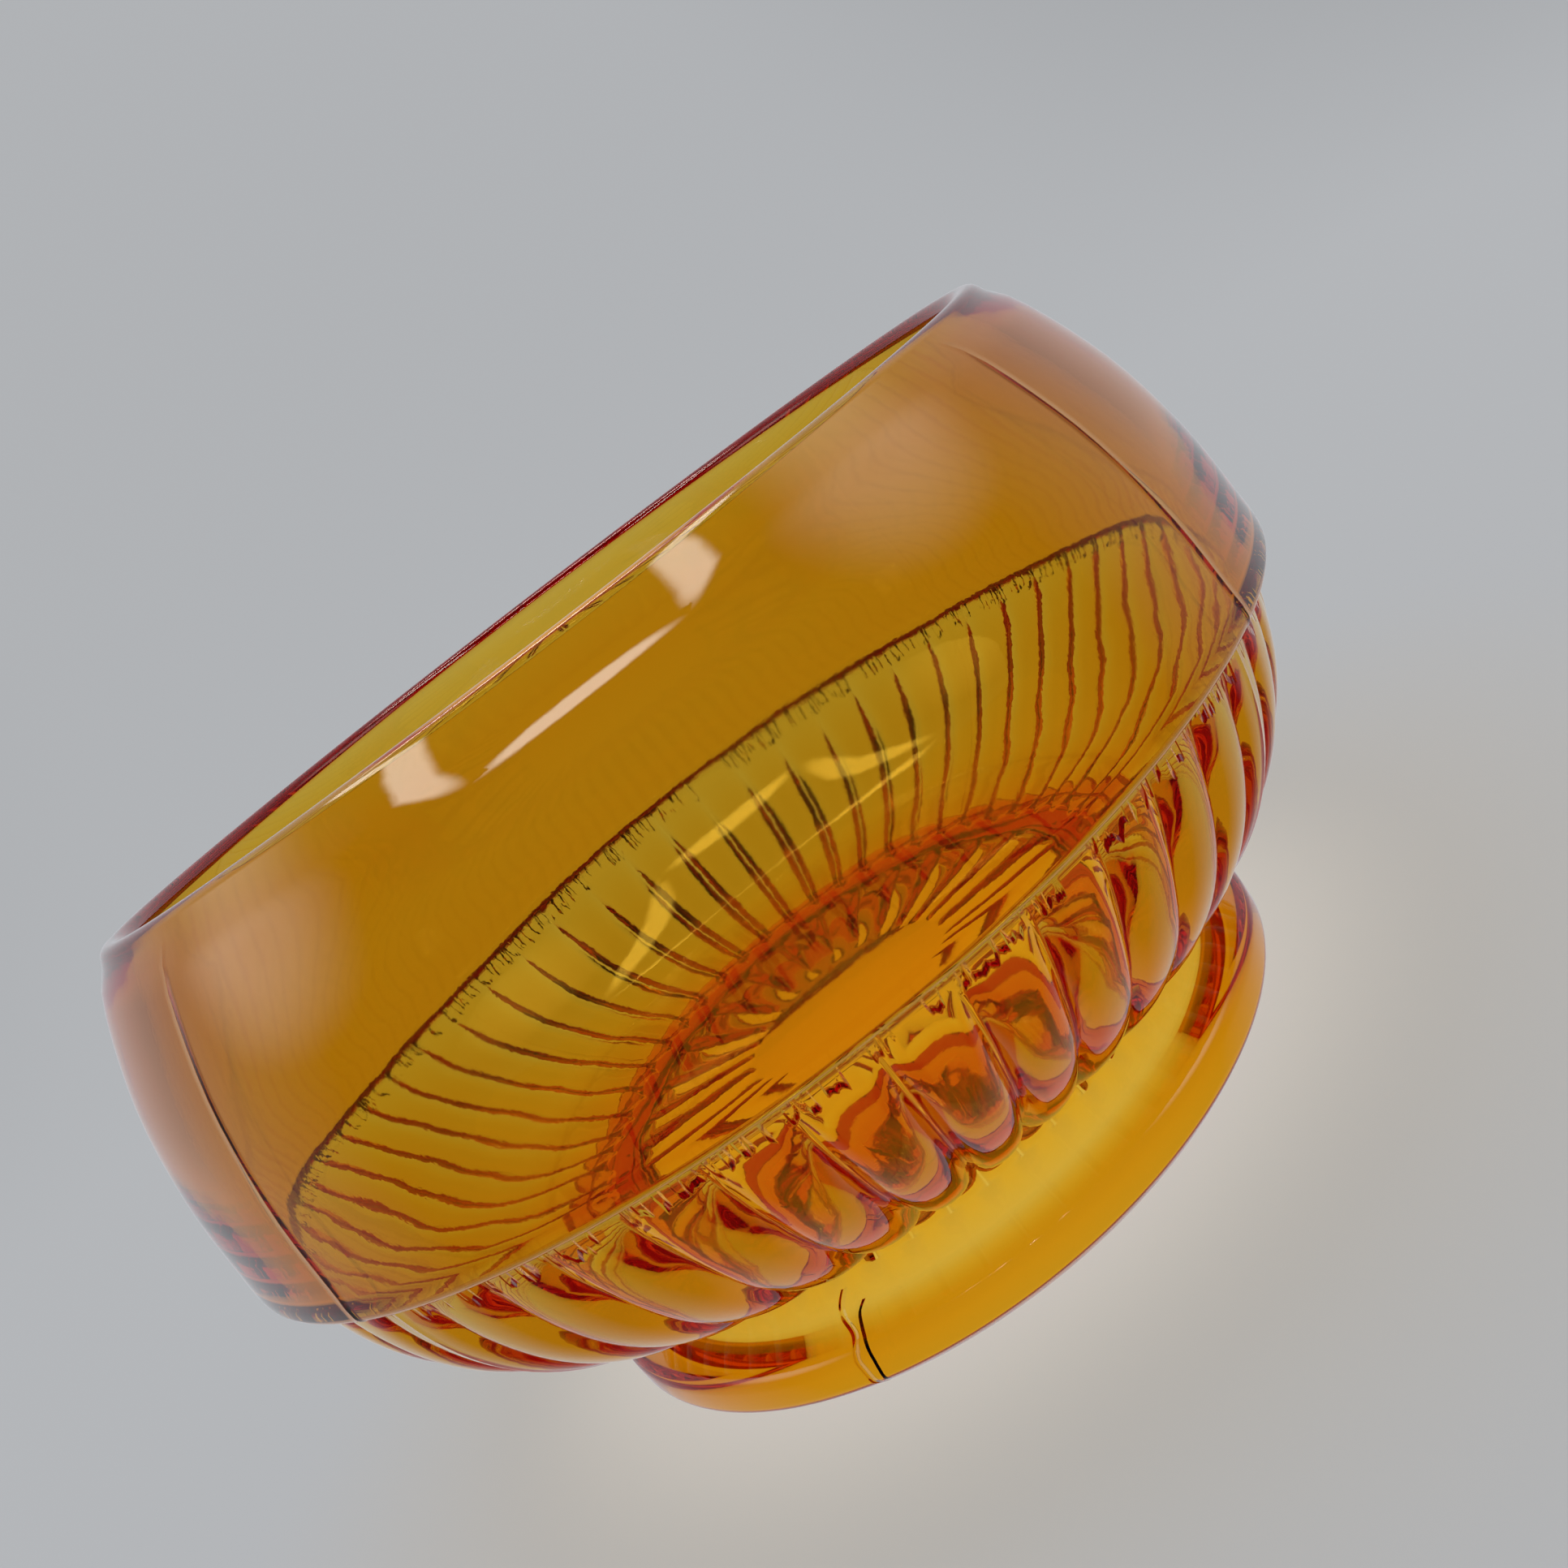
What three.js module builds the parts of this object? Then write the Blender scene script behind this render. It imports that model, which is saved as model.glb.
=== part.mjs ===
// Footed bowl in pressed amber glass: a gadrooned bowl with a smooth collar, on a spreading foot.
//
// Frame: millimetres, +Z up. The origin is on the axis, at the plane that the foot rests on.
// Both sub-parts are turned shapes, so each is a lathe profile of [radius, height] points. The
// gadroons outside the bowl and the star under its floor are then pressed into the lathe.

import * as THREE from 'three';

// Driving dimensions of the bowl
const HEIGHT = 113.2; // resting plane to the top of the rim
const RIM_RADIUS = 85.4; // outside of the rim
const RIM_THICKNESS = 4.8;
const COLLAR_RADIUS = 100; // widest place, just above the shoulder step
const STEP_HEIGHT = 59.4; // underside of the shoulder step
const STEP_WIDTH = 3.7; // how far the collar stands out past the gadroons
const FLOOR_HEIGHT = 24.6; // top of the floor inside the bowl
const FLOOR_RADIUS = 48; // flat part of the floor inside

// Collar above the shoulder, outside, as [radius, height]: it leans in more and more to the rim
const COLLAR_OUTSIDE = [
  [99.5, 67.5],
  [98.8, 75.2],
  [97.2, 83.8],
  [94.9, 92.3],
  [91.5, 100.9],
  [88.1, 107.7],
];

// Inside of the bowl from the rim to the floor: about 5 mm inside the collar, then the belly
const LINING = [
  [82.5, 106.5],
  [85.1, 101.9],
  [88.4, 94.7],
  [91.3, 86.8],
  [93.3, 78.5],
  [93.9, 71.2],
  [94.2, 60],
  [93.6, 57],
  [92.4, 53.5],
  [88.6, 46],
  [81.6, 36],
  [70.6, 27.9],
  [58, 24.9],
];

// Driving dimensions of the pressed pattern
const GADROON_COUNT = 52;
const GADROON_DEPTH = 2.3; // crest to groove, at mid height
const RAY_COUNT = 26; // petals of the star under the floor
const RAY_DEPTH = 1.5;
const DISC_RADIUS = 21.5; // plain disc in the middle of the star
const CEILING_HEIGHT = 18.7; // top of the hollow in the foot

// Driving dimensions of the foot
const FOOT_RADIUS = 67.5;
const FOOT_EDGE_HEIGHT = 8.4; // top of the rounded outer edge
const NECK_RADIUS = 56.5;
const NECK_HEIGHT = 12.8; // where the foot meets the bowl
const REST_INNER = 59.5; // flat ring that touches the table
const REST_OUTER = 64;
const HOLLOW_RADIUS = 47.5; // hollow of the foot, at its top

const JOINT_GAP = 0.3; // between the foot and the bowl
const BOWL_SEGMENTS = GADROON_COUNT * 3; // every groove falls on a facet edge
const FOOT_SEGMENTS = GADROON_COUNT * 2;

const AMBER = 0xb8780a;

function amberGlass() {
  return new THREE.MeshStandardMaterial({
    color: AMBER,
    roughness: 0.06,
    metalness: 0,
    transparent: true,
    opacity: 0.55,
  });
}

// One point of a profile. The two depths say how deep each pattern is pressed there.
function point(radius, height, gadroon = 0, ray = 0) {
  return { radius, height, gadroon, ray };
}

function curve(start, pullA, pullB, end, divisions) {
  const bezier = new THREE.CubicBezierCurve(
    new THREE.Vector2(...start),
    new THREE.Vector2(...pullA),
    new THREE.Vector2(...pullB),
    new THREE.Vector2(...end),
  );
  return bezier.getPoints(divisions);
}

// Underside of the bowl floor, from the axis to the hollow's top corner.
function starProfile() {
  const tip = HOLLOW_RADIUS - 3;
  return [
    point(0, CEILING_HEIGHT),
    point(DISC_RADIUS, CEILING_HEIGHT),
    point(DISC_RADIUS + 0.6, CEILING_HEIGHT + 0.2, 0, RAY_DEPTH * 0.45),
    point(tip, CEILING_HEIGHT - 0.4, 0, RAY_DEPTH),
    point(HOLLOW_RADIUS, CEILING_HEIGHT - 1.8),
  ];
}

// Flat ring that sits over the foot, and the neck above it.
function neckProfile() {
  const seat = NECK_HEIGHT + JOINT_GAP;
  return [
    point(HOLLOW_RADIUS + 2.4, seat),
    point(NECK_RADIUS - 0.2, seat),
    point(NECK_RADIUS - 0.3, seat + 1.4),
  ];
}

// Crest line of the gadroons. They fade out into the neck below and under the step above.
function gadroonProfile() {
  const top = COLLAR_RADIUS - STEP_WIDTH;
  const crest = curve([NECK_RADIUS + 1.3, 17.4], [80, 24], [94.5, 38], [top, STEP_HEIGHT], 6);
  return crest.map((at, index) => {
    const along = index / (crest.length - 1);
    const fade = Math.min(1, Math.sin(Math.PI * (0.18 + 0.78 * along)) * 1.35);
    return point(at.x, at.y, GADROON_DEPTH * fade);
  });
}

// Step, rounded shoulder, smooth collar and rounded rim.
function collarProfile() {
  return [
    point(COLLAR_RADIUS - 1.6, STEP_HEIGHT),
    point(COLLAR_RADIUS - 0.5, STEP_HEIGHT + 0.5),
    point(COLLAR_RADIUS, STEP_HEIGHT + 1.9),
    ...COLLAR_OUTSIDE.map((at) => point(...at)),
    point(RIM_RADIUS, HEIGHT - 1.9),
    point(RIM_RADIUS - 1.3, HEIGHT),
    point(RIM_RADIUS - RIM_THICKNESS + 1.3, HEIGHT),
    point(RIM_RADIUS - RIM_THICKNESS, HEIGHT - 1.9),
  ];
}

// Smooth inside, from below the rim to the middle of the floor.
function insideProfile() {
  return [
    ...LINING.map((at) => point(...at)),
    point(FLOOR_RADIUS, FLOOR_HEIGHT),
    point(0, FLOOR_HEIGHT),
  ];
}

function footProfile() {
  return [
    point(REST_INNER, 0),
    point(REST_OUTER, 0),
    point(FOOT_RADIUS - 1.2, 1.1),
    point(FOOT_RADIUS, 3.4),
    point(FOOT_RADIUS, FOOT_EDGE_HEIGHT - 2.8),
    point(FOOT_RADIUS - 0.7, FOOT_EDGE_HEIGHT - 0.9),
    point(FOOT_RADIUS - 2.4, FOOT_EDGE_HEIGHT),
    point(NECK_RADIUS + 3.6, NECK_HEIGHT - 2.2),
    point(NECK_RADIUS, NECK_HEIGHT - 0.7),
    point(NECK_RADIUS - 0.4, NECK_HEIGHT),
    point(HOLLOW_RADIUS + 2.6, NECK_HEIGHT),
    point(HOLLOW_RADIUS + 4.4, NECK_HEIGHT - 4.6),
    point(REST_INNER - 1.8, NECK_HEIGHT - 6),
    point(REST_INNER, 0),
  ];
}

// Arched lobes with sharp grooves between them: 0 on a crest, 1 in a groove.
function groove(wave) {
  return 1 - Math.abs(wave);
}

// Turns a profile into a solid about Z and presses the two patterns into it, each along the
// glass's own inward normal. A gadroon groove lies on -Y, and so does the middle of a petal.
function turned(profile, segments) {
  const outline = profile.map((p) => new THREE.Vector2(p.radius, p.height));
  const lathe = new THREE.LatheGeometry(outline, segments);
  const position = lathe.attributes.position;
  for (let segment = 0; segment <= segments; segment += 1) {
    const turn = (2 * Math.PI * (segment % segments)) / segments;
    const gadroonGroove = groove(Math.sin((turn * GADROON_COUNT) / 2));
    const rayGroove = groove(Math.cos((turn * RAY_COUNT) / 2));
    profile.forEach((p, index) => {
      const before = outline[Math.max(0, index - 1)];
      const after = outline[Math.min(outline.length - 1, index + 1)];
      const along = new THREE.Vector2().subVectors(after, before).normalize();
      const depth = p.gadroon * gadroonGroove + p.ray * rayGroove;
      const radius = p.radius - along.y * depth;
      const height = p.height + along.x * depth;
      const vertex = segment * profile.length + index;
      position.setXYZ(vertex, radius * Math.sin(turn), height, radius * Math.cos(turn));
    });
  }
  lathe.rotateX(Math.PI / 2);
  lathe.computeVertexNormals();
  return lathe;
}

function bowl() {
  const profile = [
    ...starProfile(),
    ...neckProfile(),
    ...gadroonProfile(),
    ...collarProfile(),
    ...insideProfile(),
  ];
  const mesh = new THREE.Mesh(turned(profile, BOWL_SEGMENTS), amberGlass());
  mesh.name = 'bowl';
  return mesh;
}

function foot() {
  const mesh = new THREE.Mesh(turned(footProfile(), FOOT_SEGMENTS), amberGlass());
  mesh.name = 'foot';
  return mesh;
}

const footedBowl = new THREE.Group();
footedBowl.name = 'footed_bowl';
footedBowl.add(bowl(), foot());

export default footedBowl;
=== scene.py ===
# Footed bowl in pressed amber glass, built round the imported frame. Metres, +Z up.

import math

import bpy
import numpy as np
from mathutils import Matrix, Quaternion, Vector


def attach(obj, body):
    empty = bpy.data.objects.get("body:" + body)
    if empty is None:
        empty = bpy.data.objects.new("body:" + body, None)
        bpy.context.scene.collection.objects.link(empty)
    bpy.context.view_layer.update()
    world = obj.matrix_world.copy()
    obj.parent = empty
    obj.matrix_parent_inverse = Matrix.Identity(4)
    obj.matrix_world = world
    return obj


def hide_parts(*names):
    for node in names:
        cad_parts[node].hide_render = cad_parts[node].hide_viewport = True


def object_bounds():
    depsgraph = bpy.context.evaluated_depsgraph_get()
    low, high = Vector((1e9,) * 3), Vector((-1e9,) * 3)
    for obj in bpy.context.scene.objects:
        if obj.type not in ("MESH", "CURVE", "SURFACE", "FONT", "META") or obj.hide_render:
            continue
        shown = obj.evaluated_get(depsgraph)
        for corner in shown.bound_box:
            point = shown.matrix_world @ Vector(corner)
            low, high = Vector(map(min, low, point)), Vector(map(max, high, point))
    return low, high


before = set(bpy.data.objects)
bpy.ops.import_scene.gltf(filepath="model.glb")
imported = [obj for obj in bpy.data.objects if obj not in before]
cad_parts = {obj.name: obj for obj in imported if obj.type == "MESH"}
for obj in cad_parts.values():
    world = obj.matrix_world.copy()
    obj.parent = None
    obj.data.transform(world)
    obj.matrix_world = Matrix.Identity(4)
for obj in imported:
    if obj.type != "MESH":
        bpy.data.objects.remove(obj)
cad_low, cad_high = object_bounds()
MM = 0.001
scene = bpy.context.scene


# --- Camera ------------------------------------------------------------------------------------
# Close to the bowl, a little above its rim, and turned on its side. The places are in bowl heights
# and widths, so the view follows the frame.
HEIGHT = cad_high.z - cad_low.z
WIDTH = cad_high.x - cad_low.x

camera_data = bpy.data.cameras.new("camera")
camera_data.sensor_width = 36
camera_data.lens = 33.57
camera_data.clip_start = 0.01
camera = bpy.data.objects.new("camera", camera_data)
scene.collection.objects.link(camera)
scene.camera = camera

eye = Vector((0, -1.22 * WIDTH, 1.0715 * HEIGHT))
aim = Vector((0.07 * WIDTH, 0, 0.566 * HEIGHT))
round_the_bowl = Quaternion((0, 0, 1), math.radians(0.85))
level_view = (aim - eye).to_track_quat("-Z", "Y")
on_its_side = Quaternion((0, 0, 1), math.radians(-37.42))
camera.rotation_mode = "QUATERNION"
camera.location = round_the_bowl @ eye
camera.rotation_quaternion = round_the_bowl @ level_view @ on_its_side


# --- Stage -------------------------------------------------------------------------------------
# A plain pale sweep: a round floor that curves up into a wall, open at the top, so the glass has
# the same pale surroundings from every side.
def linear(hex_colour):
    channels = [int(hex_colour[i:i + 2], 16) / 255 for i in (1, 3, 5)]
    return [c / 12.92 if c <= 0.04045 else ((c + 0.055) / 1.055) ** 2.4 for c in channels]


def add_node(tree, kind, links=(), **settings):
    """Adds one node. links are (input, source socket or value); settings are its own properties."""
    node = tree.nodes.new(kind)
    for name, value in settings.items():
        setattr(node, name, value)
    for socket, source in links:
        if isinstance(source, bpy.types.NodeSocket):
            tree.links.new(source, node.inputs[socket])
        else:
            node.inputs[socket].default_value = source
    return node


def grid_mesh(name, points, first_pole=False, last_pole=False):
    """Quads between the rings of points, shape (rings, columns, 3), with a fan at each pole."""
    rings, columns = points.shape[:2]
    index = np.arange(rings * columns).reshape(rings, columns)
    beside = np.roll(index, -1, axis=1)
    quads = np.stack([index[:-1], beside[:-1], beside[1:], index[1:]], axis=-1).reshape(-1, 4)
    faces = quads.tolist()
    vertices = points.reshape(-1, 3).tolist()
    for wanted, ring, order in ((first_pole, 0, 1), (last_pole, rings - 1, -1)):
        if wanted:
            pole = len(vertices)
            vertices.append(points[ring].mean(axis=0).tolist())
            faces += [[pole, *pair[::order]] for pair in zip(beside[ring].tolist(), index[ring].tolist())]
    mesh = bpy.data.meshes.new(name)
    mesh.from_pydata(vertices, [], faces)
    mesh.polygons.foreach_set("use_smooth", [True] * len(mesh.polygons))
    piece = bpy.data.objects.new(name, mesh)
    scene.collection.objects.link(piece)
    return piece


def turned_rings(outline, angles):
    radius, height = np.array(outline).T
    around = np.stack([np.cos(angles), np.sin(angles)], axis=-1)
    rings = radius[:, None, None] * around[None]
    return np.concatenate([rings, np.broadcast_to(height[:, None, None], (*rings.shape[:2], 1))], axis=-1)


FLOOR_RADIUS = 0.6
SWEEP_RADIUS = 1.0
WALL_TOP = 1.3
rise = [math.radians(a) for a in range(0, 91, 6)]
sweep_outline = [(0.02, 0.0), (FLOOR_RADIUS, 0.0)]
sweep_outline += [
    (FLOOR_RADIUS + SWEEP_RADIUS * math.sin(a), SWEEP_RADIUS * (1 - math.cos(a))) for a in rise[1:]
]
sweep_outline += [(FLOOR_RADIUS + SWEEP_RADIUS, WALL_TOP)]
sweep = grid_mesh("sweep", turned_rings(sweep_outline, np.radians(np.arange(0, 360, 5))), first_pole=True)
sweep.data.flip_normals()
sweep.location.z = cad_low.z - 0.0002

# Matt uncoated paper, which gives the eye a pale grey with no shine. It glows with painted light and
# gives off most of its own light. The glow and the base colour are painted darker to the sides and the
# front, which is painted shade. The glow is painted brightest and warmer under the bowl, a painted pool of
# light that stands in for the light the amber glass gathers there.
# Strengths of the painted glow: overall, in the painted pool of light under the bowl, and clear of it.
PAPER_PAINTED_GLOW = 0.495
PAINTED_POOL_GLOW = 1.55
PAINTED_GLOW_CLEAR_OF_BOWL = 0.97
paper = bpy.data.materials.new("backdrop_paper_painted_glow")
paper.use_nodes = True
sheet = paper.node_tree
paper_shader = sheet.nodes["Principled BSDF"]
paper_shader.inputs["Roughness"].default_value = 0.9
paper_shader.inputs["Specular IOR Level"].default_value = 0.2


def paper_ramp(value, low, high, start, end):
    return add_node(sheet, "ShaderNodeMapRange", [
        ("Value", value), ("From Min", low), ("From Max", high), ("To Min", start), ("To Max", end),
    ], interpolation_type="SMOOTHSTEP").outputs["Result"]


def paper_product(a, b):
    return add_node(sheet, "ShaderNodeMath", [(0, a), (1, b)], operation="MULTIPLY").outputs[0]


def paper_mix(factor, first, second):
    return add_node(sheet, "ShaderNodeMix", [
        (0, factor), (6, (*linear(first), 1)), (7, (*linear(second), 1)),
    ], data_type="RGBA").outputs[2]


on_paper = add_node(sheet, "ShaderNodeTexCoord").outputs["Object"]
axes = add_node(sheet, "ShaderNodeSeparateXYZ", [("Vector", on_paper)])
aside = add_node(sheet, "ShaderNodeMath", [(0, axes.outputs["X"])], operation="ABSOLUTE").outputs[0]
from_bowl = add_node(sheet, "ShaderNodeVectorMath", [(0, on_paper)], operation="LENGTH").outputs["Value"]
# Painted shade: the glow and the base colour fall off towards the front and the sides of the paper.
painted_front_falloff = paper_ramp(axes.outputs["Y"], -1.3, -0.3, 0.3, 1.0)
painted_light_falloff = paper_product(painted_front_falloff, paper_ramp(aside, 0.4, 1.4, 1.0, 0.45))
# Painted light: a warmer colour and a brighter pool of glow painted on the paper round the bowl.
painted_warmth_near_bowl = paper_ramp(from_bowl, 0.05, 0.17, 1.0, 0.0)
painted_light_pool = paper_ramp(from_bowl, 0.03, 0.1, PAINTED_POOL_GLOW, PAINTED_GLOW_CLEAR_OF_BOWL)
painted_glow_strength = paper_product(paper_product(painted_light_falloff, PAPER_PAINTED_GLOW), painted_light_pool)
# The base colour is painted darker with the painted falloff, and the glow is painted warmer near the bowl.
sheet.links.new(paper_mix(painted_light_falloff, "#4a4744", "#767677"), paper_shader.inputs["Base Color"])
sheet.links.new(paper_mix(painted_warmth_near_bowl, "#eceff3", "#f2ece2"), paper_shader.inputs["Emission Color"])
sheet.links.new(painted_glow_strength, paper_shader.inputs["Emission Strength"])
sweep.data.materials.append(paper)
sweep.visible_glossy = False


# --- Light -------------------------------------------------------------------------------------
# Soft, even light from a pale sky over the sweep, with a frame of four light bars overhead
# towards the camera, whose outline shows in the glass, and a broad panel on each side.
world = bpy.data.worlds.new("soft_sky")
scene.world = world
world.use_nodes = True
sky = world.node_tree
direction = add_node(sky, "ShaderNodeTexCoord").outputs["Generated"]
axes = add_node(sky, "ShaderNodeSeparateXYZ", [("Vector", direction)])
towards_back = add_node(sky, "ShaderNodeMapRange", [
    ("Value", axes.outputs["Y"]), ("From Min", -0.2), ("From Max", 0.55),
    ("To Min", 0.03), ("To Max", 0.7),
])
sky.nodes["Background"].inputs["Color"].default_value = (*linear("#e9edf2"), 1)
sky.links.new(towards_back.outputs["Result"], sky.nodes["Background"].inputs["Strength"])


def light_panel(name, place, target, size, watts, core):
    """A panel that shows only where it mirrors in the glass. It is full up to core, then fades out."""
    data = bpy.data.lights.new(name, "AREA")
    data.shape = "RECTANGLE"
    data.size, data.size_y = size
    data.energy = watts
    data.color = linear("#fff6ea")
    data.use_nodes = True
    light = data.node_tree
    spot = add_node(light, "ShaderNodeNewGeometry").outputs["Parametric"]
    middle = add_node(light, "ShaderNodeVectorMath", [
        (0, spot), (1, (0.5, 0.5, 0)),
    ], operation="SUBTRACT").outputs[0]
    flat = add_node(light, "ShaderNodeVectorMath", [
        (0, middle), (1, (1, 1, 0)),
    ], operation="MULTIPLY").outputs[0]
    away = add_node(light, "ShaderNodeVectorMath", [(0, flat)], operation="LENGTH").outputs["Value"]
    fade = add_node(light, "ShaderNodeMapRange", [
        ("Value", away), ("From Min", core), ("From Max", 0.5), ("To Min", 1.0), ("To Max", 0.0),
    ], interpolation_type="SMOOTHSTEP")
    light.links.new(fade.outputs["Result"], light.nodes["Emission"].inputs["Strength"])

    panel = bpy.data.objects.new(name, data)
    scene.collection.objects.link(panel)
    panel.location = place
    panel.rotation_mode = "QUATERNION"
    panel.rotation_quaternion = (Vector(target) - Vector(place)).to_track_quat("-Z", "Y")
    panel.visible_diffuse = False
    panel.visible_transmission = False


BAR_HEIGHT = 0.6
BAR_WIDTH = 0.11
FRAME_CENTRE = (-0.045, -0.15)
FRAME_SIZE = (0.5, 0.6)
for side in (-1, 1):
    x = FRAME_CENTRE[0] + side * FRAME_SIZE[0] / 2
    y = FRAME_CENTRE[1] + side * FRAME_SIZE[1] / 2
    over = (x, FRAME_CENTRE[1], BAR_HEIGHT)
    light_panel(f"side_bar_{side}", over, (x, FRAME_CENTRE[1], 0), (BAR_WIDTH, FRAME_SIZE[1]), 1.5, 0.3)
    over = (FRAME_CENTRE[0], y, BAR_HEIGHT)
    light_panel(f"cross_bar_{side}", over, (FRAME_CENTRE[0], y, 0), (FRAME_SIZE[0], BAR_WIDTH), 1.4, 0.3)
light_panel("left_panel", (-0.9, -0.05, 0.58), (0, 0, 0.05), (0.9, 0.7), 3.6, 0.1)
light_panel("right_panel", (0.72, -0.2, 0.62), (0, 0, 0.05), (0.85, 0.7), 3.4, 0.1)


# --- Bowl and foot -----------------------------------------------------------------------------
# One piece of soda-lime glass, pressed in a four-part mould and fire polished. The smooth collar
# stands over straight gadroons, the underside of the floor has a star of petals round a plain
# disc, and the foot spreads to a rounded edge over a hollow.
RIM_RADIUS = 85.4
RIM_THICKNESS = 4.8
COLLAR_RADIUS = 100
STEP_HEIGHT = 59.4
STEP_WIDTH = 3.7
FLOOR_HEIGHT = 24.6
FLOOR_FLAT = 48
TOP = 113.2
GADROON_COUNT = 52
GADROON_DEPTH = 2.8
RAY_COUNT = 26
RAY_DEPTH = 1.5
DISC_RADIUS = 21.5
CEILING_HEIGHT = 18.7
HOLLOW_RADIUS = 47.5
FOOT_RADIUS = 67.5
FOOT_EDGE_HEIGHT = 8.4
NECK_RADIUS = 56.5
NECK_HEIGHT = 12.8
REST_INNER = 59.5
REST_OUTER = 64


def rounded(corners):
    """A line through corners (radius, height, rounding), each rounded by an arc in a few steps."""
    points = []
    for i, (r, z, rounding) in enumerate(corners):
        here = Vector((r, z))
        if rounding == 0 or i in (0, len(corners) - 1):
            points.append(tuple(here))
            continue
        back = (Vector(corners[i - 1][:2]) - here).normalized()
        ahead = (Vector(corners[i + 1][:2]) - here).normalized()
        half = back.angle(ahead) / 2
        reach = rounding / math.tan(half)
        start, end = here + back * reach, here + ahead * reach
        centre = here + (back + ahead).normalized() * rounding / math.sin(half)
        steps = max(3, round(math.degrees(math.pi - 2 * half) / 18))
        for k in range(steps + 1):
            chord = start.lerp(end, k / steps) - centre
            points.append(tuple(centre + chord.normalized() * rounding))
    return points


def bezier(start, pull_a, pull_b, end, count):
    t = np.linspace(0, 1, count)[:, None]
    a, b, c, d = (np.array(p, float) for p in (start, pull_a, pull_b, end))
    return ((1 - t) ** 3 * a + 3 * (1 - t) ** 2 * t * b + 3 * (1 - t) * t ** 2 * c + t ** 3 * d).tolist()


def smooth(places, count):
    """A smooth line through the places, with its points spaced evenly along it."""
    places = np.array(places, float)
    padded = np.vstack([2 * places[0] - places[1], places, 2 * places[-1] - places[-2]])
    t = np.linspace(0, 1, 12, endpoint=False)[:, None]
    spans = []
    for a, b, c, d in zip(padded, padded[1:], padded[2:], padded[3:]):
        slope, bend, twist = c - a, 2 * a - 5 * b + 4 * c - d, 3 * b - a - 3 * c + d
        spans.append(b + (slope * t + bend * t ** 2 + twist * t ** 3) / 2)
    fine = np.vstack([*spans, places[-1:]])
    run = np.r_[0, np.cumsum(np.linalg.norm(np.diff(fine, axis=0), axis=1))]
    even = np.linspace(0, run[-1], count)
    return np.stack([np.interp(even, run, fine[:, 0]), np.interp(even, run, fine[:, 1])], axis=-1).tolist()


star_tip = HOLLOW_RADIUS - 2
star_radii = np.r_[0.6, 8, 15, DISC_RADIUS - 1, np.linspace(DISC_RADIUS, star_tip, 11)]
star = [(r, CEILING_HEIGHT) for r in star_radii]
foot = rounded([
    (star_tip, CEILING_HEIGHT, 0),
    (HOLLOW_RADIUS, CEILING_HEIGHT, 1.8),
    (HOLLOW_RADIUS + 2, 9.2, 5),
    (REST_INNER - 1.5, 6.6, 3),
    (REST_INNER + 0.6, 0, 0.8),
    (REST_OUTER + 0.6, 0, 1.2),
    (FOOT_RADIUS, 2.6, 2.2),
    (FOOT_RADIUS, FOOT_EDGE_HEIGHT, 2.6),
    (NECK_RADIUS + 4.4, NECK_HEIGHT - 2.6, 8),
    (NECK_RADIUS - 1, NECK_HEIGHT + 0.6, 0.9),
    (NECK_RADIUS + 1.3, 17.4, 0),
])
crest_top = (COLLAR_RADIUS - STEP_WIDTH, STEP_HEIGHT)
crest = bezier((NECK_RADIUS + 1.3, 17.4), (80, 24), (94.5, 38), crest_top, 30)
lip = rounded([
    (COLLAR_RADIUS - STEP_WIDTH, STEP_HEIGHT, 0),
    (COLLAR_RADIUS, STEP_HEIGHT, 1.6),
    (COLLAR_RADIUS, STEP_HEIGHT + 3, 0),
])
collar = smooth([
    (COLLAR_RADIUS, STEP_HEIGHT + 3),
    (99.7, 65.5),
    (98.8, 75.2),
    (97.2, 83.8),
    (94.9, 92.3),
    (91.5, 100.9),
    (88.1, 107.7),
    (RIM_RADIUS, TOP - 2.2),
], 16)
rim = rounded([
    (RIM_RADIUS, TOP - 2.2, 0),
    (RIM_RADIUS - 1.2, TOP, 1.9),
    (RIM_RADIUS - RIM_THICKNESS - 0.8, TOP, 1.9),
    (RIM_RADIUS - RIM_THICKNESS, TOP - 2.6, 0),
])
# Inside, the wall is even down the collar, thickens at the shoulder and thins again round the belly.
lining = smooth([
    (RIM_RADIUS - RIM_THICKNESS, TOP - 2.6),
    (82.5, 106.5),
    (85.1, 101.9),
    (88.4, 94.7),
    (91.3, 86.8),
    (93.3, 78.5),
    (93.9, 71.2),
    (94.1, 66),
    (94.3, 60),
    (93.7, 57),
    (92.5, 53.5),
    (88.8, 46),
    (81.8, 36),
    (70.8, 27.8),
    (58, 24.9),
    (FLOOR_FLAT, FLOOR_HEIGHT),
], 31)
floor = [(r, FLOOR_HEIGHT) for r in (36, 24, 12, 0.6)]

outline = np.array(star + foot[1:-1] + crest + lip[1:-1] + collar + rim[1:-1] + lining + floor)
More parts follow.
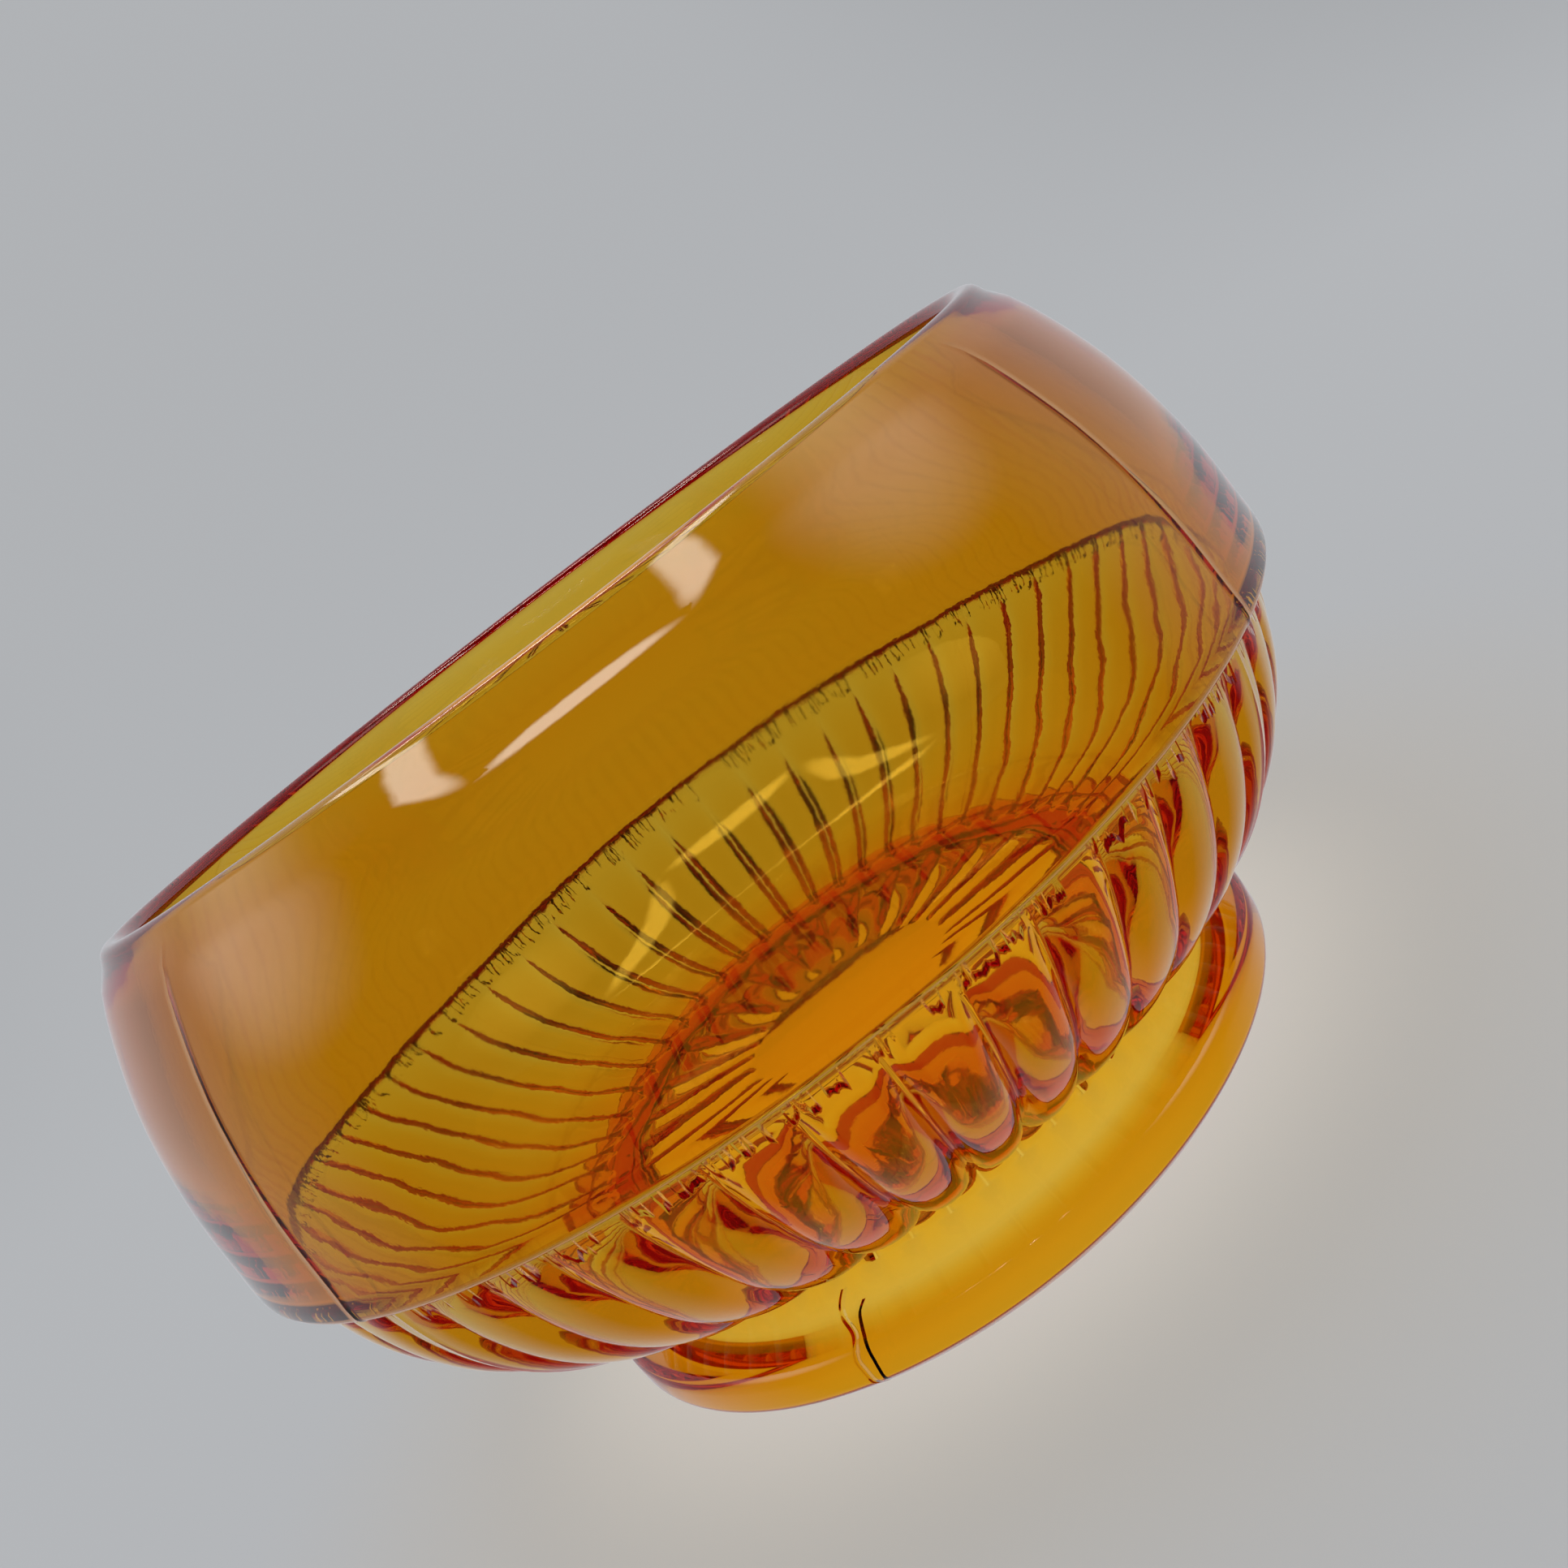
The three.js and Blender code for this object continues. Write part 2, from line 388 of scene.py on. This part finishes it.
# Columns crowd towards the grooves, where the lobes turn in most steeply, and at the seams that
# the four parts of the mould left between them.
SEAM_HEIGHT = 0.09
SEAM_WIDTH = 0.9
share = np.array([0, 0.035, 0.08, 0.15, 0.25, 0.37, 0.5, 0.63, 0.75, 0.85, 0.92, 0.965])
regular = ((np.arange(GADROON_COUNT)[:, None] + share) * 2 * np.pi / GADROON_COUNT).ravel()
seams = np.radians([45, 135, 225, 315])
beside_seams = (seams[:, None] + np.array([-0.5, -0.2, 0.2, 0.5]) * SEAM_WIDTH / COLLAR_RADIUS).ravel()
angles = np.unique(np.r_[regular, beside_seams].round(6))
from_seam = np.abs(angles[:, None] - seams).min(axis=1) * COLLAR_RADIUS
seam = SEAM_HEIGHT * np.clip(1.4 - from_seam * 2.8 / SEAM_WIDTH, 0, 1)

from_front = angles + np.pi / 2
lobe = np.abs(np.sin(from_front * GADROON_COUNT / 2))
across = 1 - 2 * np.arcsin(np.clip(lobe, 0, 1)) / np.pi
valley = np.clip((across - 0.6) / 0.4, 0, 1) ** 1.4
gadroon_groove = 0.4 * (1 - lobe) + 0.6 * valley
ray_groove = 1 - np.abs(np.cos(from_front * RAY_COUNT / 2)) ** 0.7

# The hand-cut mould makes no two grooves the same depth, and they run out at uneven heights.
uneven = np.random.default_rng(5)
groove = np.round(from_front * GADROON_COUNT / (2 * np.pi)).astype(int) % GADROON_COUNT
groove_depth = uneven.uniform(0.88, 1.1, GADROON_COUNT)[groove]
groove_shift = uneven.uniform(-0.02, 0.03, GADROON_COUNT)[groove]

ring = np.arange(len(outline))
first_ray, last_ray = 4, len(star) - 1
first_crest = len(star) + len(foot) - 2
last_crest = first_crest + len(crest) - 1
last_outside = last_crest + len(lip) + len(collar) - 4

along_crest = np.clip((ring - first_crest) / (last_crest - first_crest), 0, 1)
on_crest = (ring >= first_crest - 5) & (ring <= last_crest)
fade = np.sin(np.pi * (0.18 + 0.78 * along_crest[:, None] + groove_shift)) * 1.35
crest_depth = GADROON_DEPTH * np.minimum(1, fade) * on_crest[:, None] * groove_depth
along_ray = np.clip((outline[:, 0] - DISC_RADIUS) / (star_tip - DISC_RADIUS), 0, 1)
on_ray = (ring >= first_ray) & (ring <= last_ray)
ray_depth = np.where(on_ray, RAY_DEPTH * np.sqrt(along_ray), 0)
on_seam = (ring >= first_crest) & (ring <= last_outside)

step = np.gradient(outline, axis=0)
step /= np.linalg.norm(step, axis=1)[:, None]
inward = np.stack([-step[:, 1], step[:, 0]], axis=-1)
depth = crest_depth * gadroon_groove + ray_depth[:, None] * ray_groove - on_seam[:, None] * seam
section = outline[:, None, :] + inward[:, None, :] * depth[..., None]
points = np.stack(
    [section[..., 0] * np.cos(angles), section[..., 0] * np.sin(angles), section[..., 1]], axis=-1
)
bowl = grid_mesh("pressed_amber_bowl", points * MM, first_pole=True, last_pole=True)


# Pressed soda-lime glass, amber in the melt, with a fire-polished skin. The eye sees pale gold where
# the glass is thin and orange to red where it is thick, and faint ripples in what shows through it.
amber = bpy.data.materials.new("pressed_amber_soda_lime_glass")
amber.use_nodes = True
tree = amber.node_tree
glass = tree.nodes["Principled BSDF"]
glass.inputs["Base Color"].default_value = (1, 1, 1, 1)
glass.inputs["IOR"].default_value = 1.52
glass.inputs["Transmission Weight"].default_value = 1


def sums(operation, *values):
    return add_node(tree, "ShaderNodeMath", list(enumerate(values)), operation=operation).outputs[0]


def ramp(value, low, high, start=0.0, end=1.0):
    return add_node(tree, "ShaderNodeMapRange", [
        ("Value", value), ("From Min", low), ("From Max", high), ("To Min", start), ("To Max", end),
    ], interpolation_type="SMOOTHSTEP").outputs["Result"]


def noise(vector, size_mm, detail=2.0):
    return add_node(tree, "ShaderNodeTexNoise", [
        ("Vector", vector), ("Scale", 1 / size_mm), ("Detail", detail),
    ]).outputs[0]


place = add_node(tree, "ShaderNodeTexCoord").outputs["Object"]
in_mm = add_node(tree, "ShaderNodeVectorMath", [(0, place), ("Scale", 1 / MM)], operation="SCALE").outputs[0]
axes = add_node(tree, "ShaderNodeSeparateXYZ", [("Vector", in_mm)])
x, y, z = (axes.outputs[name] for name in "XYZ")
turn = sums("ARCTAN2", y, x)
from_axis = sums("SQRT", sums("ADD", sums("MULTIPLY", x, x), sums("MULTIPLY", y, y)))
round_the_rim = add_node(tree, "ShaderNodeCombineXYZ", [
    ("X", sums("MULTIPLY", turn, COLLAR_RADIUS)), ("Y", sums("MULTIPLY", z, 0.1)),
]).outputs[0]

# Short hair lines where the chilled glass crept under the shoulder, each a few millimetres long.
hair = ramp(noise(round_the_rim, 1.7, 1.0), 0.5, 0.6)
hair_end = sums("SUBTRACT", STEP_HEIGHT - 0.6, sums("MULTIPLY", noise(round_the_rim, 2.7), 7.0))
below_step = sums("MULTIPLY", sums("GREATER_THAN", from_axis, 94.2), sums("LESS_THAN", z, STEP_HEIGHT + 0.3))
hairs = sums("MULTIPLY", sums("MULTIPLY", hair, below_step), ramp(sums("SUBTRACT", z, hair_end), 0.0, 1.5))
# The shear mark: the line of the cut gob, folded into the foot as it was pressed.
off_mark = sums("SUBTRACT", sums("MULTIPLY", sums("ADD", turn, math.radians(116)), from_axis),
                sums("MULTIPLY", sums("SINE", sums("MULTIPLY", from_axis, 0.6)), 1.1))
below_neck = sums("LESS_THAN", z, NECK_HEIGHT - 0.8)
on_foot = sums("MULTIPLY", below_neck, sums("GREATER_THAN", from_axis, NECK_RADIUS))
mark = sums("MULTIPLY", ramp(sums("ABSOLUTE", off_mark), 0.0, 0.7, 0.6, 0.0), on_foot)

# Slow waves from the chilled mould, a finer skin over them, and the sunk lines, in metres of relief.
WAVE_RELIEF = 0.00005
SKIN_RELIEF = 0.000004
LINE_RELIEF = 0.0006
waves = add_node(tree, "ShaderNodeBump", [("Distance", WAVE_RELIEF), ("Height", noise(in_mm, 24))])
skin = add_node(tree, "ShaderNodeBump", [
    ("Distance", SKIN_RELIEF), ("Height", noise(in_mm, 2.2, 3.0)), ("Normal", waves.outputs[0]),
])
sunk = sums("SUBTRACT", 0.0, sums("ADD", hairs, mark))
lines = add_node(tree, "ShaderNodeBump", [
    ("Distance", LINE_RELIEF), ("Height", sunk), ("Normal", skin.outputs[0]),
])
tree.links.new(lines.outputs[0], glass.inputs["Normal"])
tree.links.new(ramp(noise(in_mm, 30), 0.35, 0.7, 0.01, 0.04), glass.inputs["Roughness"])
# Light lost per metre is (1 - TINT) * TINT_DENSITY in each channel: little red, most of the blue.
TINT = (0.985, 0.833, 0.01)
TINT_DENSITY = 520
tint = add_node(tree, "ShaderNodeVolumeAbsorption", [("Color", (*TINT, 1)), ("Density", TINT_DENSITY)])
tree.links.new(tint.outputs["Volume"], tree.nodes["Material Output"].inputs["Volume"])
bowl.data.materials.append(amber)

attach(bowl, "root")
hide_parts("bowl", "foot")


# --- Render paths and sizes --------------------------------------------------------------------
# Thick pressed glass sends light through many surfaces before it leaves.
scene.cycles.max_bounces = 48
scene.cycles.glossy_bounces = 48
scene.cycles.transmission_bounces = 48
scene.view_settings.view_transform = "Standard"
